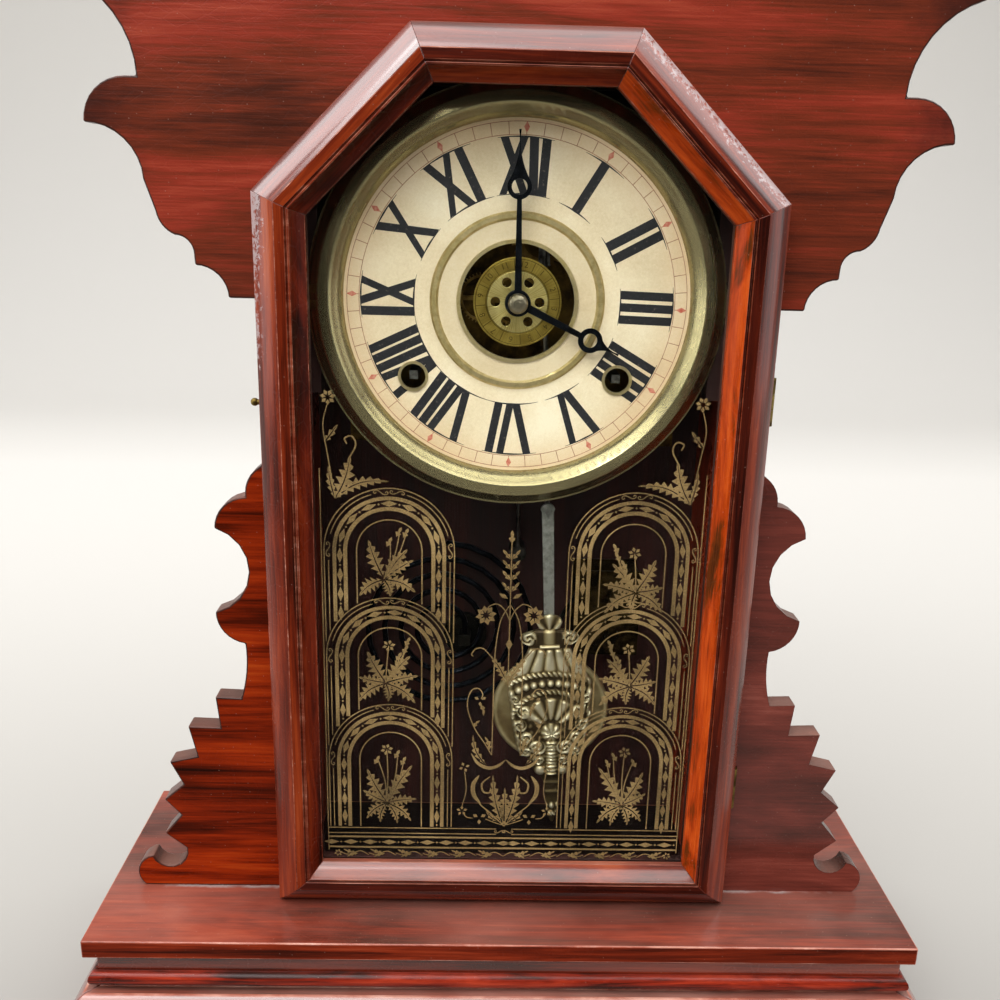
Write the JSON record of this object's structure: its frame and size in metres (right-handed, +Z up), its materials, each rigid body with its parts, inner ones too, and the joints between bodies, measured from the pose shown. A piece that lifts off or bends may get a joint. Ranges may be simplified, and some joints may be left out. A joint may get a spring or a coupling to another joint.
{
  "type": "gingerbread clock",
  "caption": "Wooden shelf clock with a scroll-sawn crest and wings, a hinged glazed door, a paper dial with alarm disc, a swinging pendulum and spring-driven trains.",
  "frame": {"origin": "middle of the underside of the bounding box, on the surface the clock stands on", "axes": "+Z up, +X to the viewer's right, -Y out of the dial towards the viewer"},
  "size_m": [0.384, 0.127, 0.569],
  "materials": {
    "stained_wood": "glossy old shellac over red-brown stain",
    "dark_wood": "satin, dark stain",
    "plain_wood": "matt, bare softwood",
    "aged_brass": "satin, tarnished",
    "movement_brass": "satin, brushed",
    "black_steel": "satin, blackened",
    "grey_steel": "satin",
    "dial_paper": "matt, yellowed",
    "tinplate": "satin",
    "black_iron": "matt, black",
    "bob_plate": "embossed, silvered and worn",
    "window_glass": "clear, with gold stencil"
  },
  "bodies": {
    "case": {"base_front": "stained_wood", "base_returns": "stained_wood", "base_bead": "dark_wood", "base_plate": "stained_wood", "back_board": "plain_wood", "left_side": "stained_wood", "right_side": "stained_wood", "box_top": "stained_wood", "crest": "stained_wood", "left_wing": "stained_wood", "right_wing": "stained_wood", "case_battens": "plain_wood", "case_hinge_leaves": "aged_brass", "catch_bush": "aged_brass", "gong": "black_steel", "gong_block": "black_iron", "dial_bezel": "aged_brass", "dial_plate": "tinplate", "dial_paper": "dial_paper", "dial_eyelets": "aged_brass", "dial_screws": "aged_brass", "front_plate": "movement_brass", "back_plate": "movement_brass", "plate_pillars": "grey_steel", "movement_screws": "grey_steel", "mainsprings": "grey_steel", "alarm_frame": "movement_brass"},
    "door": {"door_left_stile": "stained_wood", "door_right_stile": "stained_wood", "door_bottom_rail": "stained_wood", "door_top_rail": "stained_wood", "door_left_diagonal": "stained_wood", "door_right_diagonal": "stained_wood", "door_glass": "window_glass", "glazing_strips": "plain_wood", "door_hinge_leaves": "aged_brass", "door_catch": "aged_brass"},
    "minute_arbor": {"minute_hand": "black_steel", "hand_nut": "aged_brass", "cannon_pinion": "grey_steel"},
    "motion_wheel": {"minute_wheel": "movement_brass"},
    "hour_pipe": {"hour_hand": "black_steel", "hour_wheel": "movement_brass"},
    "alarm_setting": {"alarm_disc": "movement_brass"},
    "time_winder": {"time_arbor": "grey_steel"},
    "time_main": {"time_main_wheel": "movement_brass"},
    "time_second": {"time_second_wheel": "movement_brass"},
    "time_third": {"time_third_wheel": "movement_brass"},
    "escapement": {"escape_wheel": "movement_brass"},
    "pallets": {"verge": "grey_steel"},
    "pendulum": {"suspension_rod": "grey_steel", "pendulum_bob": "bob_plate"},
    "strike_winder": {"strike_arbor": "grey_steel"},
    "strike_main": {"strike_main_wheel": "movement_brass"},
    "strike_cam": {"strike_cam_wheel": "movement_brass"},
    "strike_warning": {"warning_wheel": "movement_brass"},
    "strike_fly": {"fly": "movement_brass"},
    "strike_hammer": {"hammer": "grey_steel"},
    "alarm_winder": {"alarm_wheel": "movement_brass"},
    "alarm_striker": {"alarm_hammer": "grey_steel"}
  },
  "joints": [
    {"name": "door_swing", "type": "hinge", "parent": "case", "child": "door", "pos_m": [0.1046, -0.0176, 0.201], "axis": [0, 0, 1], "range_deg": [0, 100]},
    {"name": "minute_turn", "type": "hinge", "parent": "case", "child": "minute_arbor", "pos_m": [0, 0.0285, 0.3285], "axis": [0, 1, 0], "continuous": true},
    {"name": "motion_turn", "type": "hinge", "parent": "case", "child": "motion_wheel", "pos_m": [-0.014, 0.0285, 0.3285], "axis": [0, 1, 0], "continuous": true},
    {"name": "hour_turn", "type": "hinge", "parent": "case", "child": "hour_pipe", "pos_m": [0, 0.0285, 0.3285], "axis": [0, 1, 0], "continuous": true},
    {"name": "alarm_setting_turn", "type": "hinge", "parent": "hour_pipe", "child": "alarm_setting", "pos_m": [0, 0.0285, 0.3285], "axis": [0, 1, 0], "continuous": true},
    {"name": "pendulum_swing", "type": "hinge", "parent": "case", "child": "pendulum", "pos_m": [0.009, 0.0285, 0.3925], "axis": [0, 1, 0], "range_deg": [-0.7, 6.3]},
    {"name": "pallet_rock", "type": "hinge", "parent": "case", "child": "pallets", "pos_m": [0.01, 0.0285, 0.37218], "axis": [0, 1, 0], "range_deg": [-1.35, 10.78]},
    {"name": "time_wind", "type": "hinge", "parent": "case", "child": "time_winder", "pos_m": [0.043, 0.0285, 0.2968], "axis": [0, 1, 0], "continuous": true},
    {"name": "time_third_turn", "type": "hinge", "parent": "case", "child": "time_third", "pos_m": [0.02484, 0.0285, 0.34528], "axis": [0, 1, 0], "continuous": true},
    {"name": "time_second_turn", "type": "hinge", "parent": "case", "child": "time_second", "pos_m": [0.03769, 0.0285, 0.32693], "axis": [0, 1, 0], "continuous": true},
    {"name": "time_main_turn", "type": "hinge", "parent": "case", "child": "time_main", "pos_m": [0.043, 0.0285, 0.2968], "axis": [0, 1, 0], "continuous": true},
    {"name": "escape_turn", "type": "hinge", "parent": "case", "child": "escapement", "pos_m": [0.01029, 0.0285, 0.35368], "axis": [0, 1, 0], "continuous": true},
    {"name": "strike_wind", "type": "hinge", "parent": "case", "child": "strike_winder", "pos_m": [-0.043, 0.0285, 0.2968], "axis": [0, 1, 0], "continuous": true},
    {"name": "warning_turn", "type": "hinge", "parent": "case", "child": "strike_warning", "pos_m": [-0.02484, 0.0285, 0.34528], "axis": [0, 1, 0], "continuous": true},
    {"name": "strike_cam_turn", "type": "hinge", "parent": "case", "child": "strike_cam", "pos_m": [-0.03769, 0.0285, 0.32693], "axis": [0, 1, 0], "continuous": true},
    {"name": "strike_main_turn", "type": "hinge", "parent": "case", "child": "strike_main", "pos_m": [-0.043, 0.0285, 0.2968], "axis": [0, 1, 0], "continuous": true},
    {"name": "fly_turn", "type": "hinge", "parent": "case", "child": "strike_fly", "pos_m": [-0.01644, 0.0285, 0.35983], "axis": [0, 1, 0], "continuous": true},
    {"name": "hammer_swing", "type": "hinge", "parent": "case", "child": "strike_hammer", "pos_m": [0.005, 0.0285, 0.2845], "axis": [0, 1, 0], "range_deg": [-14, 2.5]},
    {"name": "alarm_wind", "type": "hinge", "parent": "case", "child": "alarm_winder", "pos_m": [0.052, 0.0285, 0.17], "axis": [0, 1, 0], "continuous": true},
    {"name": "alarm_hammer_swing", "type": "hinge", "parent": "case", "child": "alarm_striker", "pos_m": [0.04, 0.0285, 0.189], "axis": [0, 1, 0], "range_deg": [-8, 6]}
  ],
  "couplings": [
    {"joint": "motion_turn", "follows": "minute_turn", "ratio": -0.33333},
    {"joint": "hour_turn", "follows": "minute_turn", "ratio": 0.083333},
    {"joint": "pallet_rock", "follows": "pendulum_swing", "ratio": 1.6844},
    {"joint": "time_second_turn", "follows": "time_third_turn", "ratio": -0.14286},
    {"joint": "time_main_turn", "follows": "time_third_turn", "ratio": 0.019048},
    {"joint": "escape_turn", "follows": "time_third_turn", "ratio": -6},
    {"joint": "strike_cam_turn", "follows": "warning_turn", "ratio": -0.14286},
    {"joint": "strike_main_turn", "follows": "warning_turn", "ratio": 0.019048},
    {"joint": "fly_turn", "follows": "warning_turn", "ratio": -6}
  ]
}
